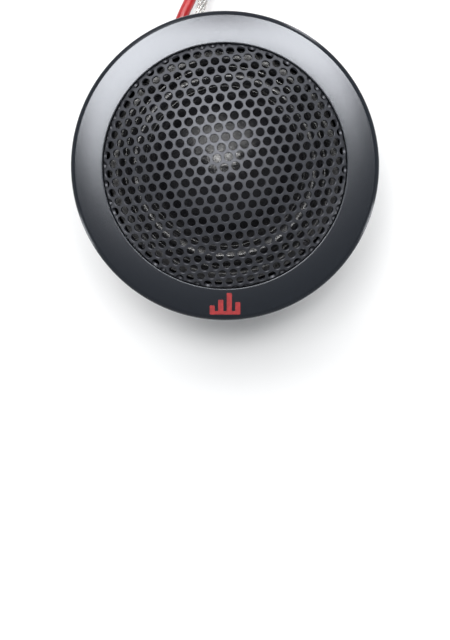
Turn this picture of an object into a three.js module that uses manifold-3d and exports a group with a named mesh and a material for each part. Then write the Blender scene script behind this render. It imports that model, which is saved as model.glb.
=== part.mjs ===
// A car tweeter: a soft dome in a turned housing with a flange and a domed grille,
// a neodymium cup motor, a rear chamber and two flying leads. Millimetres, +Z towards
// the listener. The origin is on the axis, at the middle of the rear cup's base.
import * as THREE from 'three';
import { mergeVertices } from 'three/addons/utils/BufferGeometryUtils.js';
import Module from 'manifold-3d';

const wasm = await Module();
wasm.setup();

// Every turned piece has the same number of sides, so that pieces on one axis nest.
const SIDES = 40;
const SMALL_SIDES = 10;

// Housing: outside diameter 54, cut-out body 46, mounting depth 27.
const FLANGE_R = 27;
const FLANGE_BACK_Z = 27;
const FACE_Z = 29;
const RIM_ROUND = 0.7;
const BODY_R = 23;
const BODY_ROUND = 0.85;
const REAR_WALL_Z = 17.5;
const REAR_WALL = 1.5;
const HUB_R = 17;
const BORE_R = 20.9;
const OPENING_R = 21.35;
const GRILLE_LEDGE_Z = 27;

// Grille: a spherical cap with its skirt down inside the opening.
const GRILLE_R = 40;
const GRILLE_APEX_Z = 35.3;
const GRILLE_WALL = 0.5;
const GRILLE_BEND = 0.8;
const SKIRT_R = 21.25;
const SKIRT_END_Z = 27.05;

// Rear cup, which closes the chamber behind the motor.
const CUP_R = 18;
const CUP_TOP_Z = 14.6;
const CUP_WALL = 1;
const CUP_FLOOR = 1.2;
const CUP_ROUND = 2.1;

// Motor: the yoke's rim is the neck between the cup and the housing.
const YOKE_R = 16.8;
const YOKE_BACK_Z = 7.5;
const YOKE_FRONT_Z = 18.6;
const YOKE_FLOOR = 3;
const YOKE_BORE_R = 14.9;
const VENT_R = 3.5;
const MAGNET_R = 12.5;
const MAGNET_FRONT_Z = 15.95;
const POLE_R = 13.5;
const FELT_R = 13;
const FELT_FRONT_Z = 19.8;

// Diaphragm: a 28 mm dome on a thin former, with a half-roll around it.
const DOME_R = 17.5;
const DOME_BASE_R = 13.95;
const DOME_BASE_Z = 21.2;
const DOME_WALL = 0.25;
const DOME_LIP_R = 14.4;
const FORMER_R = 14.05;
const FORMER_WALL = 0.15;
const FORMER_BACK_Z = 15.6;
const FORMER_FRONT_Z = 20.9;
const COIL_R = 14.45;
const COIL_BACK_Z = 15.8;
const COIL_FRONT_Z = 18.8;
const ROLL_CENTRE_R = 16.05;
const ROLL_R = 1.55;
const ROLL_Z = 20.8;
const SURROUND_WALL = 0.25;
const SURROUND_EDGE_R = 18.6;

// The two rings that hold the surround, and their screws.
const RING_R = 20.8;
const DIAPHRAGM_RING_BORE_R = 15.6;
const DIAPHRAGM_RING_Z = [19.6, 20.5];
const FOOT_R = 19;
const FOOT_Z = 19.05;
const CLAMP_BORE_R = 18;
const CLAMP_FRONT_Z = 23;
const SCREW_COUNT = 4;
const SCREW_CIRCLE_R = 19.85;
const SCREW_R = 0.6;
const SCREW_HOLE_R = 0.75;
const SCREW_HEAD_R = 0.95;
const SCREW_END_Z = 18.1;

// Terminals in the rear wall, placed by angle from +Y towards -X.
const TERMINAL_CIRCLE_R = 19.6;
const TERMINAL_ANGLE = { pos: THREE.MathUtils.degToRad(36), neg: THREE.MathUtils.degToRad(19) };
const TERMINAL_HOLE_R = 1.35;
const TERMINAL_NOTCH_R = 1.3;
const PIN_R = 0.5;
const PIN_Z = [15.6, 19.3];

// Leads: their free routes, then the coil of what is put away, with its two tinned ends.
const LEAD_R = 1.05;
const TIP_R = 0.55;
const TIP_LENGTH = 5;
const CLEAR_ROUTE = [
  [-6.38, 18.53, 14.7], [-6.4, 18.6, 13.6], [-6.3, 19.3, 12.0], [-6.1, 20.6, 10.7],
  [-5.8, 22.4, 9.8], [-5.4, 24.6, 9.3], [-4.9, 27.0, 8.8], [-4.4, 29.6, 7.9],
  [-3.8, 32.2, 6.3], [-3.2, 34.8, 4.3], [-2.7, 37.4, 2.5], [-2.45, 39.3, 1.75],
];
const RED_ROUTE = [
  [-11.52, 15.86, 14.7], [-11.5, 16.0, 13.6], [-11.3, 16.9, 12.2], [-10.9, 18.5, 11.1],
  [-10.3, 20.6, 10.7], [-9.5, 23.0, 10.8], [-8.6, 25.5, 11.0], [-7.5, 28.2, 10.9],
  [-6.2, 31.0, 10.0], [-5.0, 33.8, 8.3], [-3.9, 36.5, 6.3], [-3.0, 39.3, 4.6],
];
const CLEAR_TAIL = [[18.84, 44.12, 1.35], [17.5, 44.2, 1.35], [16.2, 44.7, 1.35]];
const RED_TAIL = [[17.6, 54.48, 1.9], [17.44, 53.28, 1.55], [16.98, 52.18, 1.4]];
const LEAD_COIL_AT = [13, 48.6];
const LEAD_COIL_R = [8.8, 16.35];
const LEAD_COIL_Z = [0.3, 4.5];
const TIE_ANGLE = THREE.MathUtils.degToRad(60);
const TIE_WIDTH = 3;
const TIE_WALL = 0.25;

const FINISHES = {
  housing: { color: 0x17191d, roughness: 0.35, metalness: 0.9 },
  grille: { color: 0x1d1e21, roughness: 0.4, metalness: 0.8 },
  badge: { color: 0xb02a2e, roughness: 0.5, metalness: 0 },
  cup: { color: 0x0b0c0e, roughness: 0.12, metalness: 0.9 },
  ring: { color: 0x141416, roughness: 0.3, metalness: 0 },
  screw: { color: 0x24262a, roughness: 0.4, metalness: 1 },
  dome: { color: 0x1a1b1e, roughness: 0.55, metalness: 0 },
  former: { color: 0xb9bcc2, roughness: 0.35, metalness: 1 },
  winding: { color: 0xb5652d, roughness: 0.35, metalness: 1 },
  steel: { color: 0x1b1c20, roughness: 0.4, metalness: 1 },
  magnet: { color: 0x9a9ca2, roughness: 0.3, metalness: 1 },
  felt: { color: 0x3d3f45, roughness: 1, metalness: 0 },
  foam: { color: 0x55585e, roughness: 1, metalness: 0 },
  bushing: { color: 0x121214, roughness: 0.5, metalness: 0 },
  tinned: { color: 0xc9cccf, roughness: 0.3, metalness: 1 },
  redWire: { color: 0xa01015, roughness: 0.3, metalness: 0 },
  clearWire: { color: 0xc4c8c8, roughness: 0.25, metalness: 0 },
};

const point = (r, z) => new THREE.Vector2(r, z);

// Points of a round stretch of an outline, by its centre, radius and two angles in degrees.
function round(r, z, radius, from, to, steps) {
  const start = THREE.MathUtils.degToRad(from);
  const turn = THREE.MathUtils.degToRad(to - from);
  const points = [];
  for (let i = 0; i <= steps; i += 1) {
    const angle = start + (turn * i) / steps;
    points.push(point(r + radius * Math.cos(angle), z + radius * Math.sin(angle)));
  }
  return points;
}

// A turned piece: its outline goes up the outside and down the inside, and either
// starts and ends on the axis or is closed here.
function turned(outline, sides = SIDES) {
  const onAxis = outline[0].x === 0;
  const points = onAxis ? outline : [...outline, outline[0]];
  const geometry = new THREE.LatheGeometry(points, sides);
  geometry.rotateX(Math.PI / 2);
  return geometry;
}

function plainRing(innerR, outerR, backZ, frontZ, sides) {
  const outline = [
    point(innerR, backZ), point(outerR, backZ), point(outerR, frontZ), point(innerR, frontZ),
  ];
  return turned(outline, sides);
}

function toSolid(geometry) {
  const bare = geometry.clone();
  bare.deleteAttribute('normal');
  bare.deleteAttribute('uv');
  const merged = mergeVertices(bare);
  return new wasm.Manifold(new wasm.Mesh({
    numProp: 3,
    vertProperties: new Float32Array(merged.attributes.position.array),
    triVerts: new Uint32Array(merged.index.array),
  }));
}

function toGeometry(solid) {
  const mesh = solid.getMesh();
  const geometry = new THREE.BufferGeometry();
  geometry.setAttribute('position', new THREE.BufferAttribute(mesh.vertProperties, 3));
  geometry.setIndex(new THREE.BufferAttribute(mesh.triVerts, 1));
  geometry.computeVertexNormals();
  return geometry;
}

// A round hole along Z, made as the plug that it takes away.
function holePlug([x, y], radius, backZ, frontZ) {
  const plug = new THREE.CylinderGeometry(radius, radius, frontZ - backZ, SMALL_SIDES);
  plug.rotateX(Math.PI / 2);
  plug.translate(x, y, (backZ + frontZ) / 2);
  return plug;
}

function drilled(geometry, plugs) {
  let solid = toSolid(geometry);
  for (const plug of plugs) {
    solid = solid.subtract(toSolid(plug));
  }
  return toGeometry(solid);
}

const onTerminalCircle = (angle) => [
  -TERMINAL_CIRCLE_R * Math.sin(angle), TERMINAL_CIRCLE_R * Math.cos(angle),
];
const terminalPlaces = Object.values(TERMINAL_ANGLE).map(onTerminalCircle);

const screwPlaces = [];
for (let i = 0; i < SCREW_COUNT; i += 1) {
  const angle = ((i + 0.5) / SCREW_COUNT) * 2 * Math.PI;
  screwPlaces.push([SCREW_CIRCLE_R * Math.cos(angle), SCREW_CIRCLE_R * Math.sin(angle)]);
}

function frontHousing() {
  const wallFrontZ = REAR_WALL_Z + REAR_WALL;
  const lipRound = 0.4;
  const edgeBevel = 0.1;
  const outline = [
    point(HUB_R, REAR_WALL_Z),
    ...round(BODY_R - BODY_ROUND, REAR_WALL_Z + BODY_ROUND, BODY_ROUND, -90, 0, 3),
    point(BODY_R, FLANGE_BACK_Z),
    ...round(FLANGE_R - lipRound, FLANGE_BACK_Z + lipRound, lipRound, -90, 0, 2),
    ...round(FLANGE_R - RIM_ROUND, FACE_Z - RIM_ROUND, RIM_ROUND, 0, 90, 3),
    point(OPENING_R + edgeBevel, FACE_Z),
    point(OPENING_R, FACE_Z - edgeBevel),
    point(OPENING_R, GRILLE_LEDGE_Z),
    point(BORE_R, GRILLE_LEDGE_Z),
    point(BORE_R, wallFrontZ),
    point(HUB_R, wallFrontZ),
  ];
  const blindEndZ = 17.9;
  const through = [REAR_WALL_Z - 1, wallFrontZ + 1];
  const plugs = [
    ...screwPlaces.map((place) => holePlug(place, SCREW_HOLE_R, blindEndZ, through[1])),
    ...terminalPlaces.map((place) => holePlug(place, TERMINAL_HOLE_R, ...through)),
  ];
  return drilled(turned(outline), plugs);
}

// One side of the sheet: an arc out from the axis, the bend, then down to the skirt's end.
function grilleSide(inset, endZ) {
  const sphereR = GRILLE_R - inset;
  const bend = GRILLE_BEND - inset;
  const centreZ = GRILLE_APEX_Z - GRILLE_R;
  const tilt = Math.asin((SKIRT_R - GRILLE_BEND) / (GRILLE_R - GRILLE_BEND));
  const edgeAngle = 90 - THREE.MathUtils.radToDeg(tilt);
  const bendR = (GRILLE_R - GRILLE_BEND) * Math.sin(tilt);
  const bendZ = centreZ + (GRILLE_R - GRILLE_BEND) * Math.cos(tilt);
  const cap = round(0, centreZ, sphereR, edgeAngle, 90, 5);
  cap[cap.length - 1].x = 0;
  return [
    point(SKIRT_R - inset, endZ),
    ...round(bendR, bendZ, bend, 0, edgeAngle, 2),
    ...cap.slice(1),
  ];
}

function grille() {
  const inner = grilleSide(GRILLE_WALL, SKIRT_END_Z).reverse();
  return turned([...inner, ...grilleSide(0, SKIRT_END_Z)]);
}

// Four level bars on one base line, cut from thin sheet.
function badgeInlay() {
  const barWidth = 0.9;
  const barPitch = 1.5;
  const baseHeight = 0.6;
  const heights = [1.6, 2.6, 3.8, 2.2];
  const left = (-barPitch * (heights.length - 1) - barWidth) / 2;
  const shape = new THREE.Shape();
  shape.moveTo(left, 0);
  shape.lineTo(-left, 0);
  for (let i = heights.length - 1; i >= 0; i -= 1) {
    const barLeft = left + i * barPitch;
    shape.lineTo(barLeft + barWidth, heights[i]);
    shape.lineTo(barLeft, heights[i]);
    if (i > 0) {
      shape.lineTo(barLeft, baseHeight);
      shape.lineTo(barLeft - barPitch + barWidth, baseHeight);
    }
  }
  shape.closePath();
  const thickness = 0.1;
  const geometry = new THREE.ExtrudeGeometry(shape, { depth: thickness, bevelEnabled: false });
  const glueGap = 0.02;
  geometry.translate(0, -25.9, FACE_Z + glueGap);
  return geometry;
}

function clampRing() {
  const seatZ = 20.55;
  const lipZ = 20.85;
  const lipR = SURROUND_EDGE_R + 0.2;
  const outline = [
    point(CLAMP_BORE_R, lipZ), point(lipR, lipZ), point(lipR, seatZ), point(RING_R, seatZ),
    point(RING_R, CLAMP_FRONT_Z), point(CLAMP_BORE_R + 0.9, CLAMP_FRONT_Z),
    point(CLAMP_BORE_R, lipZ + 0.8),
  ];
  const plugs = screwPlaces.map((place) => holePlug(place, SCREW_HOLE_R, 19, 24));
  return drilled(turned(outline), plugs);
}

function diaphragmRing() {
  const [backZ, frontZ] = DIAPHRAGM_RING_Z;
  const outline = [
    point(DIAPHRAGM_RING_BORE_R, backZ), point(FOOT_R, backZ), point(FOOT_R, FOOT_Z),
    point(RING_R, FOOT_Z), point(RING_R, frontZ), point(DIAPHRAGM_RING_BORE_R, frontZ),
  ];
  const plugs = [
    ...screwPlaces.map((place) => holePlug(place, SCREW_HOLE_R, 18, 22)),
    ...terminalPlaces.map((place) => holePlug(place, TERMINAL_NOTCH_R, 18, backZ + 0.1)),
  ];
  return drilled(turned(outline), plugs);
}

function ringScrew() {
  const headZ = CLAMP_FRONT_Z + 0.05;
  const outline = [
    point(0, SCREW_END_Z), point(SCREW_R, SCREW_END_Z), point(SCREW_R, headZ),
    point(SCREW_HEAD_R, headZ), point(SCREW_HEAD_R, headZ + 0.4),
    point(SCREW_HEAD_R - 0.3, headZ + 0.6), point(0, headZ + 0.6),
  ];
  return turned(outline, SMALL_SIDES);
}

function surround() {
  const innerR = ROLL_R - SURROUND_WALL;
  const backZ = ROLL_Z - SURROUND_WALL;
  const outline = [
    point(SURROUND_EDGE_R, backZ),
    point(SURROUND_EDGE_R, ROLL_Z),
    ...round(ROLL_CENTRE_R, ROLL_Z, ROLL_R, 0, 180, 6),
    ...round(ROLL_CENTRE_R, ROLL_Z, innerR, 180, 0, 4),
    point(ROLL_CENTRE_R + innerR, backZ),
  ];
  return turned(outline);
}

function dome() {
  const baseAngle = THREE.MathUtils.radToDeg(Math.acos(DOME_BASE_R / DOME_R));
  const centreZ = DOME_BASE_Z - Math.sqrt(DOME_R ** 2 - DOME_BASE_R ** 2);
  const outside = round(0, centreZ, DOME_R, baseAngle, 90, 5);
  const inside = round(0, centreZ, DOME_R - DOME_WALL, 90, baseAngle, 5);
  outside[outside.length - 1].x = 0;
  inside[0].x = 0;
  const lipBackZ = DOME_BASE_Z - DOME_WALL;
  const insideFoot = point(inside[inside.length - 1].x, lipBackZ);
  return turned([...inside, insideFoot, point(DOME_LIP_R, lipBackZ),
    point(DOME_LIP_R, DOME_BASE_Z), ...outside]);
}

function motorYoke() {
  const bevel = 0.5;
  const outline = [
    point(VENT_R, YOKE_BACK_Z), point(YOKE_R - bevel, YOKE_BACK_Z),
    point(YOKE_R, YOKE_BACK_Z + bevel), point(YOKE_R, YOKE_FRONT_Z),
    point(YOKE_BORE_R, YOKE_FRONT_Z), point(YOKE_BORE_R, YOKE_BACK_Z + YOKE_FLOOR),
    point(VENT_R, YOKE_BACK_Z + YOKE_FLOOR),
  ];
  return turned(outline);
}

function rearCup() {
  const innerRound = CUP_ROUND - CUP_WALL;
  const innerR = CUP_R - CUP_WALL;
  const rimBevel = 0.3;
  const outline = [
    point(0, 0),
    ...round(CUP_R - CUP_ROUND, CUP_ROUND, CUP_ROUND, -90, 0, 4),
    point(CUP_R, CUP_TOP_Z - rimBevel),
    point(CUP_R - rimBevel, CUP_TOP_Z),
    point(innerR, CUP_TOP_Z),
    ...round(innerR - innerRound, CUP_FLOOR + innerRound, innerRound, 0, -90, 2),
    point(0, CUP_FLOOR),
  ];
  return turned(outline);
}

function chamberFoam() {
  const bevel = 1;
  const [r, backZ, frontZ] = [16.6, 1.3, 7.3];
  return turned([
    point(0, backZ), point(r - bevel, backZ), point(r, backZ + bevel), point(r, frontZ),
    point(0, frontZ),
  ]);
}

// An insulating bush: a collar behind the wall and a stem through it, bored for the pin.
function terminalBushing() {
  const boreR = PIN_R + 0.1;
  const stemR = 1.2;
  const collarR = 1.9;
  const collarZ = [16.5, 17.45];
  return turned([
    point(boreR, collarZ[0]), point(collarR - 0.3, collarZ[0]), point(collarR, collarZ[0] + 0.3),
    point(collarR, collarZ[1]), point(stemR, collarZ[1]), point(stemR, REAR_WALL_Z + REAR_WALL),
    point(boreR, REAR_WALL_Z + REAR_WALL),
  ], SMALL_SIDES);
}

function terminalPin() {
  const [backZ, frontZ] = PIN_Z;
  return turned([
    point(0, backZ), point(PIN_R, backZ), point(PIN_R, frontZ), point(0, frontZ),
  ], SMALL_SIDES);
}

// A solder joint is a bead with a socket for the pin's end.
function solderJoint() {
  const socketR = PIN_R + 0.05;
  const socketZ = PIN_Z[0] - 0.1;
  return turned([
    point(0, 15), point(0.75, 15.05), point(1.1, 15.45), point(1.05, 16),
    point(socketR, 16.4), point(socketR, socketZ), point(0, socketZ),
  ], SMALL_SIDES);
}

// A flexible lead or wire: a round section swept along a smooth route.
function tube(route, radius, steps) {
  const curve = new THREE.CatmullRomCurve3(route.map((place) => new THREE.Vector3(...place)));
  const section = new THREE.Shape();
  section.absarc(0, 0, radius, 0, 2 * Math.PI);
  const sweep = { steps, extrudePath: curve, curveSegments: 4, bevelEnabled: false };
  return new THREE.ExtrudeGeometry(section, sweep);
}

// From the coil former out to the terminal pin, with a little slack.
function tinselLead(angle) {
  const stations = [[14.25, 19.3], [15.6, 19.2], [17.2, 19.35], [18.9, 19.2]];
  const route = stations.map(([r, z]) => [-r * Math.sin(angle), r * Math.cos(angle), z]);
  return tube(route, 0.15, 8);
}

// The stripped end of a lead, in line with its tail.
function leadTip(tail) {
  const end = new THREE.Vector3(...tail[tail.length - 1]);
  const before = new THREE.Vector3(...tail[tail.length - 2]);
  const direction = end.clone().sub(before).normalize();
  const gap = 0.3;
  const start = end.clone().addScaledVector(direction, gap);
  const finish = start.clone().addScaledVector(direction, TIP_LENGTH);
  return tube([start.toArray(), finish.toArray()], TIP_R, 1);
}

// A flat band around the coil's section, which it clears on every side.
function coilTie() {
  const sideGap = 0.35;
  const faceGap = 0.05;
  const [innerR, outerR] = LEAD_COIL_R;
  const [backZ, frontZ] = LEAD_COIL_Z;
  const rectangle = (Kind, r0, r1, z0, z1) => {
    const outline = new Kind();
    outline.moveTo(r0, z0);
    outline.lineTo(r1, z0);
    outline.lineTo(r1, z1);
    outline.lineTo(r0, z1);
    outline.closePath();
    return outline;
  };
  const inside = [innerR - sideGap, outerR + sideGap, backZ - faceGap, frontZ + faceGap];
  const grown = inside.map((value, i) => value + (i % 2 ? TIE_WALL : -TIE_WALL));
  const band = rectangle(THREE.Shape, ...grown);
  band.holes.push(rectangle(THREE.Path, ...inside));
  const geometry = new THREE.ExtrudeGeometry(band, { depth: TIE_WIDTH, bevelEnabled: false });
  geometry.translate(0, 0, -TIE_WIDTH / 2);
  geometry.rotateX(Math.PI / 2);
  return geometry;
}

const tweeter = new THREE.Group();

function add(name, finish, geometry, parent = tweeter) {
  const mesh = new THREE.Mesh(geometry, new THREE.MeshStandardMaterial(FINISHES[finish]));
  mesh.name = name;
  parent.add(mesh);
  return mesh;
}

add('front_housing', 'housing', frontHousing());
add('grille', 'grille', grille());
add('badge_inlay', 'badge', badgeInlay());
add('clamp_ring', 'ring', clampRing());
add('diaphragm_ring', 'ring', diaphragmRing());
screwPlaces.forEach(([x, y], i) => {
  add(`ring_screw_${i + 1}`, 'screw', ringScrew()).position.set(x, y, 0);
});

add('surround', 'dome', surround());
add('dome', 'dome', dome());
const formerBore = FORMER_R - FORMER_WALL;
add('coil_former', 'former', plainRing(formerBore, FORMER_R, FORMER_BACK_Z, FORMER_FRONT_Z));
add('voice_coil', 'winding', plainRing(FORMER_R + 0.03, COIL_R, COIL_BACK_Z, COIL_FRONT_Z));

const stackGap = 0.05;
add('motor_yoke', 'steel', motorYoke());
const magnetBackZ = YOKE_BACK_Z + YOKE_FLOOR + stackGap;
add('magnet', 'magnet', plainRing(VENT_R, MAGNET_R, magnetBackZ, MAGNET_FRONT_Z));
const poleBackZ = MAGNET_FRONT_Z + stackGap;
add('pole_plate', 'steel', plainRing(VENT_R, POLE_R, poleBackZ, YOKE_FRONT_Z));
const feltBackZ = YOKE_FRONT_Z + stackGap;
add('pole_felt', 'felt', plainRing(VENT_R, FELT_R, feltBackZ, FELT_FRONT_Z));
add('rear_cup', 'cup', rearCup());
add('chamber_foam', 'foam', chamberFoam());

for (const [pole, angle] of Object.entries(TERMINAL_ANGLE)) {
  const [x, y] = onTerminalCircle(angle);
  add(`terminal_bushing_${pole}`, 'bushing', terminalBushing()).position.set(x, y, 0);
  add(`terminal_pin_${pole}`, 'tinned', terminalPin()).position.set(x, y, 0);
  add(`solder_${pole}`, 'tinned', solderJoint()).position.set(x, y, 0);
  add(`tinsel_lead_${pole}`, 'winding', tinselLead(angle));
}

add('lead_red', 'redWire', tube(RED_ROUTE, LEAD_R, 24));
add('lead_clear', 'clearWire', tube(CLEAR_ROUTE, LEAD_R, 24));
add('lead_red_tail', 'redWire', tube(RED_TAIL, LEAD_R, 3));
add('lead_clear_tail', 'clearWire', tube(CLEAR_TAIL, LEAD_R, 3));
add('lead_red_tip', 'tinned', leadTip(RED_TAIL));
add('lead_clear_tip', 'tinned', leadTip(CLEAR_TAIL));

const putAway = new THREE.Group();
putAway.position.set(...LEAD_COIL_AT, 0);
putAway.rotation.z = TIE_ANGLE;
tweeter.add(putAway);
add('lead_coil', 'clearWire', plainRing(...LEAD_COIL_R, ...LEAD_COIL_Z), putAway);
add('coil_tie', 'ring', coilTie(), putAway);

export default tweeter;
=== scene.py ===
"""A soft-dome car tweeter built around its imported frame. Outlines and routes are in
millimetres, and every mesh is brought to metres as it is made."""
import math

import bmesh
import bpy
from mathutils import Matrix, Vector


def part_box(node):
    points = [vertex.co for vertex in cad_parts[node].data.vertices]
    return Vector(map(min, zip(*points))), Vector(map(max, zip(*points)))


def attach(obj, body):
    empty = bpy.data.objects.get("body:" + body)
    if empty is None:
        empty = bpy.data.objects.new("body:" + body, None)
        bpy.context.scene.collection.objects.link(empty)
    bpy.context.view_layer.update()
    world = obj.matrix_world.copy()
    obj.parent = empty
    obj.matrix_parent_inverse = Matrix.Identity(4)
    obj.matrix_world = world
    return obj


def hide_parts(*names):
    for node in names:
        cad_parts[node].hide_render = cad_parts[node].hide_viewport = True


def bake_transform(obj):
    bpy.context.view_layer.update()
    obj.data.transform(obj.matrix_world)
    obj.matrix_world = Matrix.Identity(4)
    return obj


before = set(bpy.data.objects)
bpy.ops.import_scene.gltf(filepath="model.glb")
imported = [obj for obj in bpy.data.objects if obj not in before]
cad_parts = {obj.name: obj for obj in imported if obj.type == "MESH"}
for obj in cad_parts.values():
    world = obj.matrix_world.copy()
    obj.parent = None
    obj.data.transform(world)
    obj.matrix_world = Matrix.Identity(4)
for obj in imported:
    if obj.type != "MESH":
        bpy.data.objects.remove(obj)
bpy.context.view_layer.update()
MM = 0.001


# Camera. It looks straight down on the face, with the mark at the bottom of the disc, and
# is turned a little below the disc, so that the disc fills the upper half of the frame.
def node_box(node):
    """A CAD node's lowest and highest corners, in millimetres."""
    low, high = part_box(node)
    return Vector(low) / MM, Vector(high) / MM


def placed(name, data):
    """A new object in the scene, at the origin."""
    thing = bpy.data.objects.new(name, data)
    bpy.context.collection.objects.link(thing)
    return thing


housing_low, housing_high = node_box("front_housing")
flange_r = housing_high.x
face_z = housing_high.z
camera_height = 300
aim_below_axis = 26.87
lens_length = 96.25
camera = placed("camera", bpy.data.cameras.new("camera"))
camera.location = Vector((0, 0, face_z + camera_height)) * MM
camera.rotation_euler = (-math.atan2(aim_below_axis, camera_height), 0, 0)
camera.data.lens = lens_length
camera.data.clip_start = 0.01
bpy.context.scene.camera = camera


# Floor and light. A pale bench in a room with pale walls and a dimmer ceiling, two softboxes
# overhead that fade down the face ring, a wide panel and a window light behind them, and
# three upright strips that put streaks on the turned sides.
bpy.context.scene.view_settings.view_transform = "Standard"
world = bpy.data.worlds.new("pale_room")
bpy.context.scene.world = world
world.use_nodes = True
room = world.node_tree.nodes["Background"]
room.inputs["Color"].default_value = (0.94, 0.97, 1.0, 1)
upward = world.node_tree.nodes.new("ShaderNodeSeparateXYZ")
direction = world.node_tree.nodes.new("ShaderNodeTexCoord")
world.node_tree.links.new(direction.outputs["Generated"], upward.inputs["Vector"])
walls = world.node_tree.nodes.new("ShaderNodeMapRange")
walls.inputs["From Min"].default_value = 0.12
walls.inputs["From Max"].default_value = 0.35
walls.inputs["To Min"].default_value = 0.75
walls.inputs["To Max"].default_value = 0.28
world.node_tree.links.new(upward.outputs["Z"], walls.inputs["Value"])
world.node_tree.links.new(walls.outputs["Result"], room.inputs["Strength"])


def lamp(name, place, aim, size, watts):
    """A soft rectangular lamp at a place in millimetres, facing another."""
    data = bpy.data.lights.new(name, "AREA")
    data.shape = "RECTANGLE"
    data.size, data.size_y = size[0] * MM, size[1] * MM
    data.energy = watts
    light = placed(name, data)
    light.location = Vector(place) * MM
    facing = Vector(aim) - Vector(place)
    light.rotation_euler = facing.to_track_quat("-Z", "Y").to_euler()
    light.visible_camera = False


softbox_z = 520
lamp("softbox_left", (-72, 84, softbox_z), (0, 0, face_z), (115, 135), 0.95)
lamp("softbox_right", (62, 94, softbox_z), (0, 0, face_z), (90, 110), 0.64)
lamp("panel", (-20, 340, 480), (0, 0, face_z), (700, 330), 2.6)
window = bpy.data.lights.new("window", "SUN")
window.energy = 0.8
window.angle = math.radians(50)
window_light = placed("window", window)
towards_window = Vector((-0.4, 0.8, 0.85))
window_light.rotation_euler = towards_window.to_track_quat("Z", "Y").to_euler()
strip_width = 60
strip_height = 90
strip_distance = 280
for number, compass in enumerate((60, 205, 340), 1):
    angle = math.radians(compass)
    across = Vector((math.cos(angle), math.sin(angle), 0)) * strip_distance
    lamp(f"strip_{number}", across + Vector((0, 0, strip_height / 2)),
         (0, 0, strip_height / 2), (strip_width, strip_height), 0.12)

bench_half_width = 6000
floor_shape = bmesh.new()
bmesh.ops.create_grid(floor_shape, x_segments=2, y_segments=2, size=bench_half_width * MM)
floor_mesh = bpy.data.meshes.new("floor")
floor_shape.to_mesh(floor_mesh)
floor_shape.free()
floor = placed("floor", floor_mesh)
bench = bpy.data.materials.new("pale_bench")
bench.use_nodes = True
bench_shader = bench.node_tree.nodes["Principled BSDF"]
bench_shader.inputs["Base Color"].default_value = (0.9, 0.9, 0.9, 1)
bench_shader.inputs["Roughness"].default_value = 0.7
bench_shader.inputs["Specular IOR Level"].default_value = 0.1
floor_mesh.materials.append(bench)


# Flying leads: two insulated stranded wires soldered to the terminals, one red and one
# clear. They fall to the bench, where what is spare is wound into one flat coil, the clear
# wire under the red, and both end in tinned tips inside it.
def new_finish(name, colour, roughness, metallic=0.0, ior=1.5):
    """A material and its shader, to which each finish adds its own texture."""
    material = bpy.data.materials.new(name)
    material.use_nodes = True
    shader = material.node_tree.nodes["Principled BSDF"]
    shader.inputs["Base Color"].default_value = (*colour, 1)
    shader.inputs["Roughness"].default_value = roughness
    shader.inputs["Metallic"].default_value = metallic
    shader.inputs["IOR"].default_value = ior
    return material, shader


def add_node(material, kind, **sockets):
    """A node, with its sockets set to numbers or linked to other nodes' outputs."""
    node = material.node_tree.nodes.new(kind)
    for socket, value in sockets.items():
        target = node.inputs[socket.replace("_", " ")]
        if isinstance(value, bpy.types.NodeSocket):
            material.node_tree.links.new(value, target)
        else:
            target.default_value = value
    return node


def on_object(material):
    """Object coordinates, so that a texture stays on its piece."""
    return add_node(material, "ShaderNodeTexCoord").outputs["Object"]


def cloudy(material, size_mm, detail=2.0, stretch=(1, 1, 1)):
    """Soft noise whose patches are about size_mm across."""
    place = add_node(material, "ShaderNodeMapping", Vector=on_object(material), Scale=stretch)
    noise = add_node(material, "ShaderNodeTexNoise", Vector=place.outputs["Vector"],
                     Scale=1 / (size_mm * MM), Detail=detail)
    return noise.outputs["Fac"]


def ranged(material, value, low, high, start=0.3, end=0.7):
    """Spreads a texture's middle range between two values."""
    node = add_node(material, "ShaderNodeMapRange", Value=value, From_Min=start,
                    From_Max=end, To_Min=low, To_Max=high)
    return node.outputs["Result"]


def tinted(material, shader, value, dark, light):
    """Colours a finish between two shades by a texture."""
    mix = material.node_tree.nodes.new("ShaderNodeMix")
    mix.data_type = "RGBA"
    material.node_tree.links.new(ranged(material, value, 0, 1), mix.inputs["Factor"])
    mix.inputs["A"].default_value = (*dark, 1)
    mix.inputs["B"].default_value = (*light, 1)
    colour = next(out for out in mix.outputs if out.type == "RGBA")
    material.node_tree.links.new(colour, shader.inputs["Base Color"])


def embossed(material, shader, *reliefs):
    """Stacks bump layers, each a texture and its depth in millimetres."""
    bump = None
    for value, depth in reliefs:
        layer = add_node(material, "ShaderNodeBump", Height=value, Distance=depth * MM)
        if bump:
            material.node_tree.links.new(bump.outputs["Normal"], layer.inputs["Normal"])
        bump = layer
    material.node_tree.links.new(bump.outputs["Normal"], shader.inputs["Normal"])


def red_pvc():
    material, shader = new_finish("red_pvc", (0.33, 0.008, 0.012), 0.28)
    tinted(material, shader, cloudy(material, 3), (0.24, 0.005, 0.008), (0.4, 0.014, 0.016))
    embossed(material, shader, (cloudy(material, 0.6), 0.01))
    shader.inputs["Subsurface Weight"].default_value = 0.1
    shader.inputs["Subsurface Radius"].default_value = (0.0015, 0.0003, 0.0003)
    return material


def clear_pvc():
    material, shader = new_finish("clear_pvc", (0.93, 0.94, 0.93), 0.12, ior=1.4)
    tinted(material, shader, cloudy(material, 4), (0.86, 0.88, 0.87), (0.97, 0.98, 0.97))
    embossed(material, shader, (cloudy(material, 0.8), 0.012))
    shader.inputs["Transmission Weight"].default_value = 0.92
    return material


def tinned_copper():
    material, shader = new_finish("tinned_copper", (0.74, 0.73, 0.71), 0.26, metallic=1.0)
    tinted(material, shader, cloudy(material, 0.5), (0.6, 0.58, 0.55), (0.85, 0.85, 0.84))
    embossed(material, shader, (cloudy(material, 0.15), 0.006))
    return material


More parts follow.
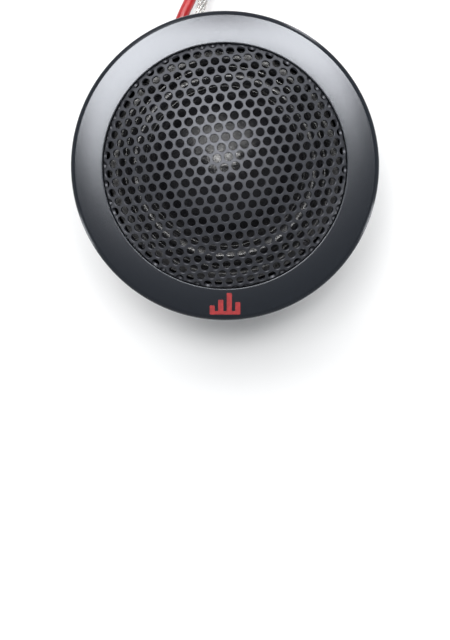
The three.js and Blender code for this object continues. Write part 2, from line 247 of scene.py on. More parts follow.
RED_PVC = red_pvc()
CLEAR_PVC = clear_pvc()
TINNED = tinned_copper()

lead_r = 1.05
coil_inset = 1.15
coil_low, coil_high = node_box("lead_coil")
coil_centre = (coil_low + coil_high) / 2
coil_centre.z = 0
coil_line_r = (coil_high.x - coil_low.x) / 2 - coil_inset
clear_layer_z = coil_low.z + lead_r
red_layer_z = clear_layer_z + 2 * lead_r
tail_z = 1.4
clear_places = [
    (-6.38, 18.53, 14.7), (-6.4, 18.6, 13.6), (-6.3, 19.3, 12.0), (-6.1, 20.6, 10.7),
    (-5.8, 22.4, 9.8), (-5.4, 24.6, 9.3), (-4.9, 27.0, 8.8), (-4.4, 29.6, 7.9),
    (-3.8, 32.2, 6.3), (-3.2, 34.8, 4.3), (-2.7, 37.4, 2.5), (-2.45, 39.3, 1.75),
    (-2.3, 41.6, 1.4), (-2.2, 45.0, 1.35), (-2.2, 48.6, 1.35),
]
red_places = [
    (-11.52, 15.86, 14.7), (-11.5, 16.0, 13.6), (-11.3, 16.9, 12.2), (-10.9, 18.5, 11.1),
    (-10.3, 20.6, 10.7), (-9.5, 23.0, 10.8), (-8.6, 25.5, 11.0), (-7.5, 28.2, 10.9),
    (-6.2, 31.0, 10.0), (-5.0, 33.8, 8.3), (-3.9, 36.5, 6.3), (-3.0, 39.3, 4.6),
    (-2.5, 42.0, 3.7), (-2.25, 45.2, 3.47), (-2.2, 48.6, 3.45),
]


def smooth_line(places, steps=5):
    """Points on one smooth curve through the places."""
    knots = [Vector(place) for place in places]
    knots = [2 * knots[0] - knots[1], *knots, 2 * knots[-1] - knots[-2]]
    line = []
    for before, start, end, after in zip(knots, knots[1:], knots[2:], knots[3:]):
        for i in range(steps):
            t = i / steps
            bend = (2 * before - 5 * start + 4 * end - after) * t ** 2
            twist = (3 * start - before - 3 * end + after) * t ** 3
            line.append((2 * start + (end - before) * t + bend + twist) / 2)
    return [*line, knots[-2]]


def wound(turns, layer_z):
    """Turns side by side from the outside in, clockwise from the coil's -X side."""
    steps_per_turn = 48
    line = []
    for i in range(1, int(turns * steps_per_turn) + 1):
        turn = i / steps_per_turn
        angle = math.pi - math.tau * turn
        radius = coil_line_r - 2 * lead_r * turn
        offset = Vector((radius * math.cos(angle), radius * math.sin(angle), layer_z))
        line.append(coil_centre + offset)
    return line


def curled_tail(turns, layer_z, bend_r):
    """The last third of a tighter turn, which comes down onto the bench."""
    out = math.pi - math.tau * turns
    pivot_r = coil_line_r - 2 * lead_r * turns - bend_r
    pivot = coil_centre + Vector((pivot_r * math.cos(out), pivot_r * math.sin(out), 0))
    sweep = math.radians(120)
    level_share = 0.25
    steps = 16
    line = []
    for i in range(1, steps + 1):
        share = i / steps
        fall = min(max((share - level_share) / (1 - level_share), 0), 1)
        fall = fall * fall * (3 - 2 * fall)
        angle = out - sweep * share
        height = layer_z + (tail_z - layer_z) * fall
        line.append(pivot + Vector((bend_r * math.cos(angle), bend_r * math.sin(angle), height)))
    return line


def swept(name, lines, radius, finish, roundness=3):
    """Round wires of one radius along one or more lines."""
    curve = bpy.data.curves.new(name, "CURVE")
    curve.dimensions = "3D"
    curve.bevel_depth = radius * MM
    curve.bevel_resolution = roundness
    curve.use_fill_caps = True
    for line in lines:
        spline = curve.splines.new("POLY")
        spline.points.add(len(line) - 1)
        for knot, place in zip(spline.points, line):
            knot.co = (*(place * MM), 1)
    curve.materials.append(finish)
    return placed(name, curve)


def strands(line, circle_r, count, lay_length):
    """Lines that twist round one line, a full turn in each lay length."""
    side = (line[1] - line[0]).orthogonal()
    travelled = 0
    twisted = [[] for _ in range(count)]
    for i, place in enumerate(line):
        ahead = (line[min(i + 1, len(line) - 1)] - line[max(i - 1, 0)]).normalized()
        side = (side - ahead * side.dot(ahead)).normalized()
        across = ahead.cross(side)
        if i:
            travelled += (place - line[i - 1]).length
        for k, strand in enumerate(twisted):
            angle = math.tau * (k / count + travelled / lay_length)
            strand.append(place + circle_r * (side * math.cos(angle) + across * math.sin(angle)))
    return twisted


def straight(start, end, steps):
    """Evenly spaced points from one place to another."""
    return [start.lerp(end, i / steps) for i in range(steps + 1)]


strand_r = 0.2
strand_twist = {"circle_r": 0.4, "count": 6, "lay_length": 9}
depth_in_solder = 0.9
depth_in_sleeve = 2
tip_length = 5
leads = (
    ("red", red_places, 2.25, red_layer_z, 4.6, RED_PVC),
    ("clear", clear_places, 2.5, clear_layer_z, 4.5, CLEAR_PVC),
)
for colour, places, turns, layer_z, bend_r, pvc in leads:
    line = smooth_line(places) + wound(turns, layer_z) + curled_tail(turns, layer_z, bend_r)
    lead = swept(f"lead_{colour}_wire", [line], lead_r, pvc, roundness=5)
    end_way = (line[-1] - line[-2]).normalized()
    start_way = (line[0] - line[1]).normalized()
    near_end = straight(line[0] + start_way * depth_in_solder, line[0] - start_way, 6)
    far_end = straight(line[-1] - end_way * depth_in_sleeve, line[-1] + end_way * tip_length, 14)
    core = strands(near_end, **strand_twist) + strands(far_end, **strand_twist)
    if pvc is CLEAR_PVC:
        core += strands(line, **strand_twist)
    bare = swept(f"lead_{colour}_strands", core, strand_r, TINNED, roundness=1)
    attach(lead, "housing")
    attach(bare, "housing")
    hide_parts(f"lead_{colour}", f"lead_{colour}_tail", "lead_coil")
    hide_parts(f"lead_{colour}_tip")


# Coil tie: a flat strap of soft plastic drawn round the wound leads, with its free end lapped
# over the top and pressed down on itself.
def finished(name, shape, finish, crease=35):
    """Turns a shape in millimetres into a smooth-shaded piece with its hard edges kept."""
    for face in shape.faces:
        face.smooth = True
    for edge in shape.edges:
        edge.smooth = edge.is_manifold and edge.calc_face_angle() < math.radians(crease)
    shape.transform(Matrix.Scale(MM, 4))
    mesh = bpy.data.meshes.new(name)
    shape.to_mesh(mesh)
    shape.free()
    mesh.materials.append(finish)
    piece = placed(name, mesh)
    flats = piece.modifiers.new("even_flats", "WEIGHTED_NORMAL")
    flats.keep_sharp = True
    return piece


def goes_in(piece, body, slot, *nodes):
    """Hangs a piece on a body, in place of the CAD nodes that it stands for."""
    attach(piece, body)
    if nodes:
        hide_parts(*nodes)


def soft_band():
    material, shader = new_finish("soft_band", (0.02, 0.02, 0.021), 0.6)
    tinted(material, shader, cloudy(material, 1.2), (0.012, 0.012, 0.013), (0.035, 0.035, 0.037))
    embossed(material, shader, (cloudy(material, 0.2), 0.02))
    return material


def corners_of(made):
    """The vertices in what a mesh operator made."""
    return [part for part in made["geom"] if isinstance(part, bmesh.types.BMVert)]


def rounded(shape, parts, size, segments, affect):
    """Rounds some corners ("VERTICES") or edges ("EDGES") of a shape."""
    bmesh.ops.bevel(shape, geom=parts, offset=size, offset_type="OFFSET", segments=segments,
                    profile=0.5, affect=affect, material=-1)


def strap_shape(inner_r, outer_r, back_z, front_z):
    """A strap across the coil's winding, open on top, where its two ends lap."""
    shape = bmesh.new()
    middle_r = (inner_r + outer_r) / 2
    under_z = front_z - strap_wall - strap_lap_gap
    places = ((middle_r + 2, under_z), (inner_r, under_z), (inner_r, back_z), (outer_r, back_z),
              (outer_r, front_z), (middle_r - 1.5, front_z))
    corners = [shape.verts.new((r, -strap_width / 2, z)) for r, z in places]
    for start, end in zip(corners, corners[1:]):
        shape.edges.new((start, end))
    rounded(shape, corners[1:-1], strap_corner_r, 5, "VERTICES")
    walls = bmesh.ops.extrude_edge_only(shape, edges=list(shape.edges))
    bmesh.ops.translate(shape, vec=(0, strap_width, 0), verts=corners_of(walls))
    bmesh.ops.recalc_face_normals(shape, faces=shape.faces)
    lap = max(shape.faces, key=lambda face: face.calc_center_median().z)
    if lap.normal.z < 0:
        bmesh.ops.reverse_faces(shape, faces=shape.faces)
    bmesh.ops.solidify(shape, geom=list(shape.faces), thickness=strap_wall)
    rims = [edge for edge in shape.edges if edge.calc_face_angle() > math.radians(60)]
    rounded(shape, rims, 0.07, 2, "EDGES")
    return shape


strap_width = 3
strap_wall = 0.24
strap_corner_r = 0.9
strap_lap_gap = 0.03
strap_play = 0.05
strap_back_z = 0.02
strap_front_z = 5.06
turns_at_first_pass = 1 / 3
turns_at_last_pass = 2 + turns_at_first_pass
tie_angle = math.pi - math.tau * turns_at_first_pass
outer_turn_r = coil_line_r - 2 * lead_r * turns_at_first_pass
inner_turn_r = coil_line_r - 2 * lead_r * turns_at_last_pass
strap = strap_shape(inner_turn_r - lead_r - strap_wall - strap_play,
                    outer_turn_r + lead_r + strap_wall + strap_play, strap_back_z, strap_front_z)
strap.transform(Matrix.Translation(coil_centre) @ Matrix.Rotation(tie_angle, 4, "Z"))
tie = finished("coil_tie_strap", strap, soft_band())
goes_in(tie, "housing", "tie_plastic", "coil_tie")


# Rear cup: closes the chamber behind the motor. Turned from aluminium and finished in high
# gloss black, with the faint rings of the turning tool. It is bonded on the yoke.
def turned_shape(outline, steps=160):
    """Spins an outline of (radius, height, rounding) corners about the axis. One that
    doesn't start on the axis is closed into a ring."""
    shape = bmesh.new()
    corners = [shape.verts.new((corner[0], 0, corner[1])) for corner in outline]
    ends = corners[1:] + corners[:1] if outline[0][0] > 0 else corners[1:]
    for start, end in zip(corners, ends):
        shape.edges.new((start, end))
    for corner, sizes in zip(corners, outline):
        if len(sizes) > 2:
            rounded(shape, [corner], sizes[2], 4, "VERTICES")
    section = list(shape.verts) + list(shape.edges)
    bmesh.ops.spin(shape, geom=section, cent=(0, 0, 0), axis=(0, 0, 1), angle=math.tau,
                   steps=steps, use_merge=True)
    bmesh.ops.remove_doubles(shape, verts=shape.verts, dist=0.001)
    bmesh.ops.recalc_face_normals(shape, faces=shape.faces)
    return shape


def arc(centre_r, centre_z, radius, start, end, steps):
    """Outline points on a round stretch, between two angles in degrees."""
    points = []
    for i in range(steps + 1):
        angle = math.radians(start + (end - start) * i / steps)
        points.append((centre_r + radius * math.cos(angle), centre_z + radius * math.sin(angle)))
    return points


def round_the_axis(material):
    """Coordinates of radius and height only, for marks that run round the axis."""
    place = on_object(material)
    flat = add_node(material, "ShaderNodeMapping", Vector=place, Scale=(1, 1, 0))
    radius = add_node(material, "ShaderNodeVectorMath", Vector=flat.outputs["Vector"])
    radius.operation = "LENGTH"
    height = add_node(material, "ShaderNodeSeparateXYZ", Vector=place).outputs["Z"]
    rings = add_node(material, "ShaderNodeCombineXYZ", X=radius.outputs["Value"], Z=height)
    return rings.outputs["Vector"]


def lathe_marks(material, size_mm, detail=3.0):
    """Fine rings round the axis, about size_mm apart."""
    noise = add_node(material, "ShaderNodeTexNoise", Vector=round_the_axis(material),
                     Scale=1 / (size_mm * MM), Detail=detail)
    return noise.outputs["Fac"]


def gloss_black():
    material, shader = new_finish("gloss_black", (0.006, 0.0065, 0.008), 0.08, ior=1.42)
    tinted(material, shader, lathe_marks(material, 0.5), (0.004, 0.0045, 0.0055),
           (0.009, 0.0095, 0.011))
    smears = ranged(material, cloudy(material, 6), 0.06, 0.12)
    material.node_tree.links.new(smears, shader.inputs["Roughness"])
    embossed(material, shader, (lathe_marks(material, 0.12), 0.0012),
             (cloudy(material, 2.5), 0.004))
    return material


cup_high = node_box("rear_cup")[1]
cup_r = cup_high.x
cup_wall = 1
cup_floor = 1.2
cup = finished("rear_cup_shell", turned_shape([
    (0, 0), (cup_r, 0, 2.1), (cup_r, cup_high.z, 0.3), (cup_r - cup_wall, cup_high.z, 0.15),
    (cup_r - cup_wall, cup_floor, 1.1), (0, cup_floor)], 192), gloss_black())
goes_in(cup, "housing", "cup_gloss", "rear_cup")


# Chamber foam: a disc cut from open-cell foam, which damps the air behind the motor. It lies
# loose in the bottom of the cup.
def pore_pits_and_shade(material, size_mm):
    """Open cells about size_mm across: pits for the relief, and painted shade at their bottoms
    where they tint the colour.
    """
    cells = add_node(material, "ShaderNodeTexVoronoi", Vector=on_object(material),
                     Scale=1 / (size_mm * MM))
    return cells.outputs["Distance"]


def open_foam():
    material, shader = new_finish("open_foam", (0.12, 0.12, 0.13), 0.95)
    # The colour darkens towards the bottoms of the cells. This is painted shade in the pits, not a
    # tone of the foam.
    tinted(material, shader, pore_pits_and_shade(material, 0.8), (0.03, 0.03, 0.034), (0.2, 0.2, 0.21))
    embossed(material, shader, (pore_pits_and_shade(material, 0.8), 0.3), (cloudy(material, 0.2), 0.05))
    return material


foam_low, foam_high = node_box("chamber_foam")
foam = finished("chamber_foam_disc", turned_shape([
    (0, foam_low.z), (foam_high.x, foam_low.z, 1.2), (foam_high.x, foam_high.z, 0.6),
    (0, foam_high.z)], 96), open_foam())
goes_in(foam, "housing", "damping_foam", "chamber_foam")


# Motor: a turned steel yoke in black zinc, whose rim is the neck between cup and housing,
# with a nickel-plated ring magnet, a steel pole plate and a felt pad stacked inside it.
def black_zinc():
    material, shader = new_finish("black_zinc", (0.03, 0.03, 0.034), 0.34, metallic=0.85)
    tinted(material, shader, lathe_marks(material, 0.3), (0.018, 0.018, 0.021),
           (0.05, 0.05, 0.055))
    embossed(material, shader, (lathe_marks(material, 0.1), 0.004), (cloudy(material, 0.1), 0.002))
    return material


def nickel_plate():
    material, shader = new_finish("nickel_plate", (0.62, 0.6, 0.56), 0.22, metallic=1.0)
    tinted(material, shader, cloudy(material, 3), (0.5, 0.48, 0.45), (0.68, 0.66, 0.62))
    embossed(material, shader, (cloudy(material, 0.3), 0.004))
    return material


def wool_felt():
    material, shader = new_finish("wool_felt", (0.07, 0.07, 0.075), 1.0)
    fibres = cloudy(material, 0.25, 5.0, (1, 1, 3))
    tinted(material, shader, fibres, (0.03, 0.03, 0.033), (0.13, 0.13, 0.14))
    embossed(material, shader, (fibres, 0.08))
    shader.inputs["Sheen Weight"].default_value = 0.4
    return material


def plain_ring(name, node, bore_r, rounding, finish, steps=128):
    """A ring with the outside radius and the heights of its CAD node."""
    low, high = node_box(node)
    return finished(name, turned_shape([
        (bore_r, low.z, rounding), (high.x, low.z, rounding), (high.x, high.z, rounding),
        (bore_r, high.z, rounding)], steps), finish)


BLACK_ZINC = black_zinc()
yoke_low, yoke_high = node_box("motor_yoke")
yoke_r = yoke_high.x
vent_r = 3.5
gap_outer_r = 14.9
yoke_floor = 3
yoke_floor_z = yoke_low.z + yoke_floor
yoke = finished("motor_yoke_body", turned_shape([
    (vent_r, yoke_low.z, 0.2), (yoke_r, yoke_low.z, 0.5), (yoke_r, yoke_high.z, 0.2),
    (gap_outer_r, yoke_high.z, 0.15), (gap_outer_r, yoke_floor_z, 0.4),
    (vent_r, yoke_floor_z, 0.2)]), BLACK_ZINC)
goes_in(yoke, "housing", "motor_steel", "motor_yoke")
magnet = plain_ring("magnet_ring", "magnet", vent_r, 0.3, nickel_plate())
goes_in(magnet, "housing", "magnet_nickel", "magnet")
plate = plain_ring("pole_plate_ring", "pole_plate", vent_r, 0.2, BLACK_ZINC)
goes_in(plate, "housing", "motor_steel", "pole_plate")
felt = plain_ring("pole_felt_pad", "pole_felt", vent_r, 0.35, wool_felt())
goes_in(felt, "housing", "damping_felt", "pole_felt")


# Housing: turned in one piece from aluminium and black anodised. The face ring is bead blasted
# and falls slightly to a crisp edge and a bevelled rim, the sides keep a satin turned finish,
# and the rear wall is bored for the motor and drilled for the terminals and screws.
def black_anodised():
    material, shader = new_finish("black_anodised", (0.01, 0.0115, 0.015), 0.22, ior=1.55)
    shader.inputs["Specular Tint"].default_value = (0.91, 0.94, 1.0, 1)
    surface = add_node(material, "ShaderNodeNewGeometry")
    facing = add_node(material, "ShaderNodeSeparateXYZ", Vector=surface.outputs["Normal"])
    face = ranged(material, facing.outputs["Z"], 0, 1, 0.9, 0.97)
    blasted = cloudy(material, 0.16, 3.0)
    tinted(material, shader, blasted, (0.004, 0.005, 0.0075), (0.01, 0.0125, 0.017))
    roughness = ranged(material, face, 0.15, 0.18, 0, 1)
    material.node_tree.links.new(roughness, shader.inputs["Roughness"])
    grain = add_node(material, "ShaderNodeMath")
    grain.operation = "MULTIPLY"
    material.node_tree.links.new(blasted, grain.inputs[0])
    material.node_tree.links.new(face, grain.inputs[1])
    embossed(material, shader, (grain.outputs["Value"], 0.004),
             (lathe_marks(material, 0.15), 0.0015))
    return material


def drilled(piece, places, radius, back_z, front_z):
    """Takes round holes along Z out of a piece, as a drill would."""
    bits = bmesh.new()
    for x, y in places:
        upright = Matrix.Translation((x, y, (back_z + front_z) / 2))
        bmesh.ops.create_cone(bits, cap_ends=True, segments=32, radius1=radius,
                              radius2=radius, depth=front_z - back_z, matrix=upright)
    cutter = finished("drill_bits", bits, piece.data.materials[0])
    cut = piece.modifiers.new("holes", "BOOLEAN")
    cut.object = cutter
    cut.operation = "DIFFERENCE"
    cut.solver = "EXACT"
    piece.modifiers.move(len(piece.modifiers) - 1, 0)
    bpy.context.view_layer.update()
    drilled_mesh = bpy.data.meshes.new_from_object(
        piece.evaluated_get(bpy.context.evaluated_depsgraph_get()))
    drilled_mesh.name = piece.name
    piece.modifiers.clear()
    piece.data = drilled_mesh
    bpy.data.objects.remove(cutter)


def middle_of(node):
    """Where a CAD node stands across the axis, as X and Y in millimetres."""
    low, high = node_box(node)
    return (low + high).xy / 2


body_r = 23
bore_r = 20.9
opening_r = 21.35
rim_r = 26.25
rim_fall = 0.48
face_fall = 0.14
crown_radii = (25.3, 24.3, 23.3, 22.3, 21.65)
flange_back_z = 27
rear_wall_z = housing_low.z
rear_wall = 1.5
wall_front_z = rear_wall_z + rear_wall
motor_bore_r = 17
pin_hole_r = 1.35
screw_hole_r = 0.75
screw_hole_end_z = 17.9


def face_height(radius):
    """How high the crowned face stands at a radius."""
    share = (radius - opening_r) / (rim_r - opening_r)
    return face_z - face_fall * share ** 2


housing = finished("front_housing_body", turned_shape([
    (motor_bore_r, rear_wall_z, 0.25), (body_r, rear_wall_z, 0.85), (body_r, flange_back_z, 0.12),
    (flange_r, flange_back_z, 0.4), (flange_r, face_z - face_fall - rim_fall, 0.22),
    (rim_r, face_z - face_fall, 0.03),
    *[(radius, face_height(radius)) for radius in crown_radii],
    (opening_r, face_z, 0.12), (opening_r, flange_back_z), (bore_r, flange_back_z, 0.1),
    (bore_r, wall_front_z, 0.2), (motor_bore_r, wall_front_z, 0.15)], 256), black_anodised())
screw_places = [middle_of(f"ring_screw_{number}") for number in range(1, 5)]
pin_places = {pole: middle_of(f"terminal_pin_{pole}") for pole in ("pos", "neg")}
drilled(housing, pin_places.values(), pin_hole_r, rear_wall_z - 1, wall_front_z + 1)
drilled(housing, screw_places, screw_hole_r, screw_hole_end_z, wall_front_z + 1)
goes_in(housing, "housing", "housing_anodised", "front_housing")


# Terminals: at each, a moulded bush insulates a tinned pin that runs through the rear wall,
# and a bead of solder joins the lead's bare strands to the pin's outer end.
def moulded_black(name, roughness):
    material, shader = new_finish(name, (0.018, 0.018, 0.02), roughness)
    tinted(material, shader, cloudy(material, 2), (0.012, 0.012, 0.013), (0.024, 0.024, 0.026))
    embossed(material, shader, (cloudy(material, 0.3), 0.006))
    return material


def solder():
    material, shader = new_finish("solder", (0.78, 0.77, 0.74), 0.18, metallic=1.0)
    tinted(material, shader, cloudy(material, 0.7), (0.62, 0.6, 0.56), (0.86, 0.85, 0.83))
    embossed(material, shader, (cloudy(material, 0.5), 0.03))
    return material


BUSH_BLACK = moulded_black("bush_black", 0.45)
SOLDER = solder()
bush_hole_r = 0.6
bush_neck_r = 1.2
bush_head_r = 1.9
bush_back_z = 16.5
bush_head_z = 17.45
pin_r = 0.5
pin_back_z = 15.6
pin_front_z = 19.3
bead_r = 1.02
bead_centre_z = 15.72
bead_back_z = 14.92
bead_front_z = 16.49
bead_unevenness = 0.09
for number, (pole, place) in enumerate(pin_places.items()):
    at_pin = Matrix.Translation((*place, 0))
    bush_shape = turned_shape([
        (bush_hole_r, bush_back_z, 0.1), (bush_head_r, bush_back_z, 0.3),
        (bush_head_r, bush_head_z, 0.1), (bush_neck_r, bush_head_z),
        (bush_neck_r, wall_front_z, 0.15), (bush_hole_r, wall_front_z, 0.1)], 48)
    pin_shape = turned_shape([
        (0, pin_back_z), (pin_r, pin_back_z, 0.15), (pin_r, pin_front_z, 0.2),
        (0, pin_front_z)], 32)
    bead_shape = turned_shape([
        (0, bead_back_z), *arc(0, bead_centre_z, bead_r, -50, 10, 6), (0.86, 16.2),
        (0.66, 16.38), (0.54, bead_front_z), (0, bead_front_z)], 32)
    for corner in bead_shape.verts:
        lean = math.sin(3 * corner.co.x + 2 * number) * math.cos(2.4 * corner.co.y + corner.co.z)
        corner.co.xy *= 1 + bead_unevenness * lean
    for shape in (bush_shape, pin_shape, bead_shape):
        shape.transform(at_pin)
    bush = finished(f"terminal_bush_{pole}", bush_shape, BUSH_BLACK)
    goes_in(bush, "housing", "bushing_plastic", f"terminal_bushing_{pole}")
    pin = finished(f"terminal_post_{pole}", pin_shape, TINNED)
    goes_in(pin, "housing", "tinned_metal", f"terminal_pin_{pole}")
    bead = finished(f"solder_bead_{pole}", bead_shape, SOLDER, crease=60)
    goes_in(bead, "housing", "tinned_metal", f"solder_{pole}")


# Diaphragm ring: a moulded ring that carries the surround. Its foot stands on the rear wall
# and leaves a channel for the tinsel leads, with a notch at each terminal.
RING_BLACK = moulded_black("ring_black", 0.22)
ring_low, ring_high = node_box("diaphragm_ring")
ring_bore_r = 15.6
foot_bore_r = 19
channel_z = 19.6
notch_r = 1.3
carrier = finished("diaphragm_ring_body", turned_shape([
    (ring_bore_r, channel_z, 0.15), (foot_bore_r, channel_z, 0.1), (foot_bore_r, ring_low.z, 0.1),
    (ring_high.x, ring_low.z, 0.1), (ring_high.x, ring_high.z, 0.15),
    (ring_bore_r, ring_high.z, 0.2)]), RING_BLACK)
drilled(carrier, screw_places, screw_hole_r, 18, 22)
drilled(carrier, pin_places.values(), notch_r, 18, channel_z + 0.1)
goes_in(carrier, "housing", "ring_plastic", "diaphragm_ring")


# Voice coil: enamelled copper wire wound side by side on a thin aluminium foil former, which
# is glued under the dome's lip and hangs in the motor's gap.
def enamelled_copper():
    material, shader = new_finish("enamelled_copper", (0.55, 0.2, 0.08), 0.3, metallic=1.0)
    tinted(material, shader, cloudy(material, 0.6), (0.42, 0.14, 0.05), (0.66, 0.27, 0.12))
    embossed(material, shader, (cloudy(material, 0.08), 0.003))
    return material


def aluminium_foil():
    material, shader = new_finish("aluminium_foil", (0.7, 0.71, 0.73), 0.3, metallic=1.0)
    tinted(material, shader, cloudy(material, 1.5), (0.6, 0.61, 0.63), (0.78, 0.79, 0.8))
    embossed(material, shader, (cloudy(material, 0.4), 0.005))
    return material


COPPER = enamelled_copper()
former_high = node_box("coil_former")[1]
former_wall = 0.15
former = plain_ring("coil_former_tube", "coil_former", former_high.x - former_wall, 0.04,
                    aluminium_foil(), 160)
goes_in(former, "diaphragm", "former_aluminium", "coil_former")
winding_low, winding_high = node_box("voice_coil")
winding_start_r = former_high.x + 0.03
wire_count = 15
wire_r = (winding_high.z - winding_low.z) / wire_count / 2
winding_outline = [(winding_start_r, winding_high.z), (winding_start_r, winding_low.z)]
for turn in range(wire_count):
    wire_z = winding_low.z + wire_r * (2 * turn + 1)
    winding_outline += arc(winding_high.x - wire_r, wire_z, wire_r, -80, 80, 4)
winding = finished("voice_coil_winding", turned_shape(winding_outline, 128), COPPER)
goes_in(winding, "diaphragm", "winding_copper", "voice_coil")


# Tinsel leads: braided copper from the former out to each pin, soldered at both ends and
# bowed in the ring's channel, so that they have slack for the stroke.
def made_mesh(curve_piece):
    """The same piece as a mesh."""
    mesh = bpy.data.meshes.new_from_object(curve_piece)
    piece = placed(curve_piece.name + "_braid", mesh)
    bpy.data.objects.remove(curve_piece)
    return piece


tinsel_r = 0.07
tinsel_twist = {"circle_r": 0.08, "count": 3, "lay_length": 1.2}
tinsel_stations = ((14.15, 19.3), (15.0, 19.22), (16.2, 19.18), (17.4, 19.36), (18.4, 19.32),
                   (19.05, 19.2))
for pole, place in pin_places.items():
    outward = Vector((*place.normalized(), 0))
    route = smooth_line([outward * radius + Vector((0, 0, z)) for radius, z in tinsel_stations])
    braid = made_mesh(swept(f"tinsel_lead_{pole}", strands(route, **tinsel_twist), tinsel_r,
                            COPPER, roundness=1))
    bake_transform(braid)
    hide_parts(f"tinsel_lead_{pole}")


# Dome: one layer of woven fabric pressed to a spherical cap and doped, with a flat lip that
# is glued to the former and to the surround.
def doped_fabric():
    material, shader = new_finish("doped_fabric", (0.01, 0.01, 0.012), 0.2, ior=1.6)
    place = on_object(material)
    weave = add_node(material, "ShaderNodeMath")
    weave.operation = "ADD"
    for socket, direction in zip(weave.inputs, ("X", "Y")):
        threads = add_node(material, "ShaderNodeTexWave", Vector=place, Scale=1250, Distortion=0.8)
        threads.bands_direction = direction
        material.node_tree.links.new(threads.outputs["Fac"], socket)
    tinted(material, shader, cloudy(material, 2.2), (0.006, 0.006, 0.0075), (0.014, 0.014, 0.017))
    coat = ranged(material, cloudy(material, 1.6), 0.1, 0.25)
    material.node_tree.links.new(coat, shader.inputs["Roughness"])
    embossed(material, shader, (weave.outputs["Value"], 0.004), (cloudy(material, 0.9, 3.0), 0.05))
    shader.inputs["Sheen Weight"].default_value = 0.1
    return material


DOPED_FABRIC = doped_fabric()
dome_low, dome_high = node_box("dome")
fabric_wall = 0.25
lip_r = dome_high.x
lip_z = dome_low.z + fabric_wall
dome_base_r = 13.95
dome_steps = 24
cap_height = dome_high.z - lip_z
dome_r = (dome_base_r ** 2 + cap_height ** 2) / (2 * cap_height)
dome_centre_z = dome_high.z - dome_r
base_angle = math.degrees(math.asin((lip_z - dome_centre_z) / dome_r))
inside = arc(0, dome_centre_z, dome_r - fabric_wall, 90, base_angle, dome_steps)
outside = arc(0, dome_centre_z, dome_r, base_angle, 90, dome_steps)
inside[0] = (0, inside[0][1])
outside[-1] = (0, outside[-1][1])
dome = finished("dome_cap", turned_shape([
    *inside, (inside[-1][0], dome_low.z), (lip_r, dome_low.z), (lip_r, lip_z), *outside]),
    DOPED_FABRIC, crease=80)
goes_in(dome, "diaphragm", "dome_fabric", "dome")


# Glue line: a bead of black adhesive run round the dome's lip, over the joint of dome, former
# and surround. It sets glossy and a little uneven.
def adhesive():
    material, shader = new_finish("adhesive", (0.01, 0.01, 0.011), 0.12)
    tinted(material, shader, cloudy(material, 1.5), (0.006, 0.006, 0.007), (0.02, 0.02, 0.022))
    embossed(material, shader, (cloudy(material, 0.9), 0.04))
    return material


glue_line_r = 14.3
glue_bead_r = 0.28
glue = finished("dome_glue_line", turned_shape(arc(glue_line_r, lip_z, glue_bead_r, 0, 330, 11)),
                adhesive())
goes_in(glue, "diaphragm", "dome_fabric")


# Surround: a half roll of the same fabric, glued to the dome's lip inside and clamped on
# the diaphragm ring outside.
roll_r = 1.55
roll_centre_r = 16.05
inner_foot_z = lip_z - 0.2
outer_foot_z = 20.58
surround_r = 18.6
surround_shape = turned_shape([
    (surround_r, outer_foot_z), (surround_r, outer_foot_z + fabric_wall),
    (roll_centre_r + roll_r + 0.12, outer_foot_z + fabric_wall, 0.1),
    *arc(roll_centre_r, inner_foot_z, roll_r, 4, 180, 18),
    *arc(roll_centre_r, inner_foot_z, roll_r - fabric_wall, 180, 4, 14),
    (roll_centre_r + roll_r - 0.1, outer_foot_z)])
surround = finished("surround_roll", surround_shape, DOPED_FABRIC, crease=70)
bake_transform(surround)
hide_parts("surround")


# Clamp ring: a glossy moulded ring that holds the surround's edge down, bevelled on its
# inner face, with the four screws that go through both rings into the rear wall.
clamp_low, clamp_high = node_box("clamp_ring")
clamp_bore_r = 18
clamp_step_r = 18.8
clamp_lip_z = 20.85
bevel_width = 0.9
lip_height = 0.8
clamp = finished("clamp_ring_body", turned_shape([
    (clamp_bore_r, clamp_lip_z, 0.15), (clamp_step_r, clamp_lip_z), (clamp_step_r, clamp_low.z),
    (clamp_high.x, clamp_low.z), (clamp_high.x, clamp_high.z, 0.3),
    (clamp_bore_r + bevel_width, clamp_high.z, 0.25),
    (clamp_bore_r, clamp_lip_z + lip_height, 0.3)]), RING_BLACK)
drilled(clamp, screw_places, screw_hole_r, 19, 24)
goes_in(clamp, "housing", "ring_plastic", "clamp_ring")


shank_r = 0.6
head_r = 0.95
socket_r = 0.5
lobe_depth = 0.14
screw_end_z = 18.1
head_back_z = 23.05
head_front_z = 23.65
socket_floor_z = 23.25


def screw_shape():
    """A small screw with a domed head and a six-lobed socket."""
    shape = turned_shape([
        (0, screw_end_z), (shank_r, screw_end_z, 0.2), (shank_r, head_back_z, 0.05),
        (head_r, head_back_z, 0.08), (head_r, head_front_z, 0.25),
        (socket_r, head_front_z, 0.05), (0.48, socket_floor_z), (0, socket_floor_z)], 48)
    for corner in shape.verts:
        in_socket = 0.3 < corner.co.xy.length < 0.56
        if in_socket and corner.co.z > socket_floor_z - 0.05:
            lobe = math.cos(6 * math.atan2(corner.co.y, corner.co.x))
            corner.co.xy *= 1 + lobe_depth * lobe
    return shape


SCREW_FINISH = black_zinc()
for number, place in enumerate(screw_places, 1):
    shape = screw_shape()
    shape.transform(Matrix.Translation((*place, 0)))
    screw = finished(f"clamp_screw_{number}", shape, SCREW_FINISH)
    goes_in(screw, "housing", "screw_steel", f"ring_screw_{number}")


